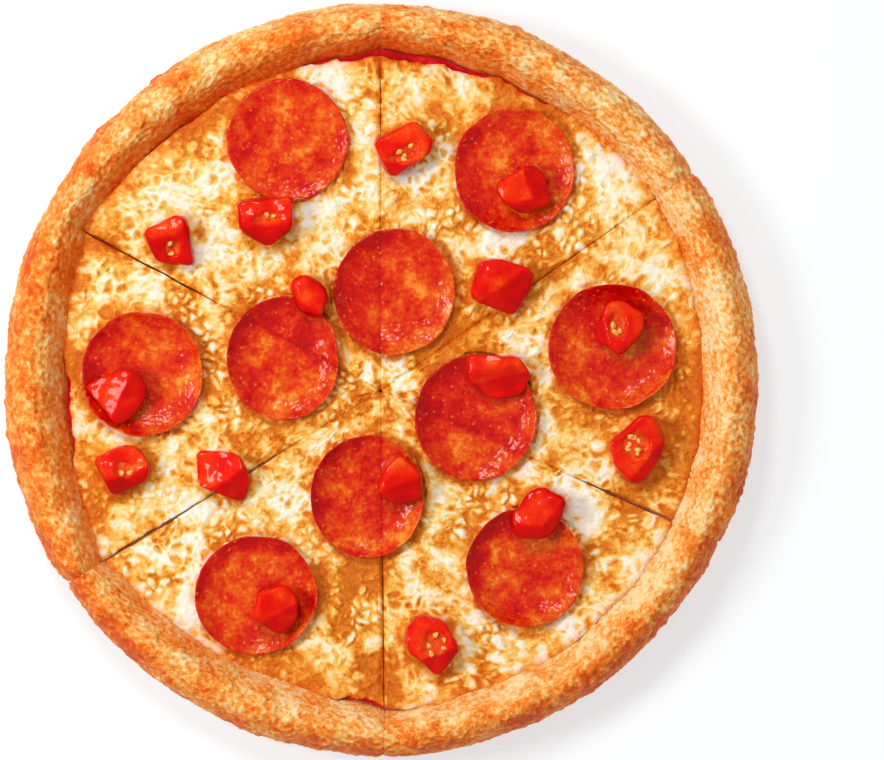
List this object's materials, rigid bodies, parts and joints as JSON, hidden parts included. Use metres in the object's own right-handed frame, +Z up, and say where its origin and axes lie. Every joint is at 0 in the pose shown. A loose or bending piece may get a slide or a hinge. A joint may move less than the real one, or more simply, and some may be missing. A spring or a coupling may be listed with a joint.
{
  "type": "pepperoni and tomato pizza",
  "caption": "Round pizza with a thick risen rim, cut into wedges that still lie together, with melted cheese, pepperoni rounds and chunks of tomato.",
  "frame": {"origin": "middle of the underside, where the pizza rests", "axes": "+Z up, +Y towards the top of the pizza seen from above, +X to its right"},
  "size_m": [0.2545, 0.2546, 0.0272],
  "materials": {
    "crust": "baked golden-brown dough, matt and finely pored",
    "sauce": "thick crimson tomato sauce, moist",
    "cheese": "melted pale cheese with golden blisters, lightly oily",
    "pepperoni": "mottled orange-red cured sausage, oily",
    "tomato": "wet bright red flesh with pale seeds"
  },
  "bodies": {
    "root": {"dough_1": "crust", "dough_2": "crust", "dough_3": "crust", "dough_4": "crust", "dough_5": "crust", "dough_6": "crust", "sauce_1": "sauce", "sauce_2": "sauce", "sauce_3": "sauce", "sauce_4": "sauce", "sauce_5": "sauce", "sauce_6": "sauce", "cheese_1": "cheese", "cheese_2": "cheese", "cheese_3": "cheese", "cheese_4": "cheese", "cheese_5": "cheese", "cheese_6": "cheese", "pepperoni_1": "pepperoni", "pepperoni_2": "pepperoni", "pepperoni_3_a": "pepperoni", "pepperoni_3_b": "pepperoni", "pepperoni_4_a": "pepperoni", "pepperoni_4_b": "pepperoni", "pepperoni_5": "pepperoni", "pepperoni_6_a": "pepperoni", "pepperoni_6_b": "pepperoni", "pepperoni_7": "pepperoni", "pepperoni_8_a": "pepperoni", "pepperoni_8_b": "pepperoni", "pepperoni_9": "pepperoni", "pepperoni_10": "pepperoni", "tomato_1": "tomato", "tomato_2": "tomato", "tomato_3": "tomato", "tomato_4": "tomato", "tomato_5": "tomato", "tomato_6": "tomato", "tomato_7": "tomato", "tomato_8": "tomato", "tomato_9": "tomato", "tomato_10": "tomato", "tomato_11": "tomato", "tomato_12": "tomato", "tomato_13": "tomato", "tomato_14": "tomato", "tomato_15": "tomato", "tomato_16": "tomato"}
  },
  "joints": []
}
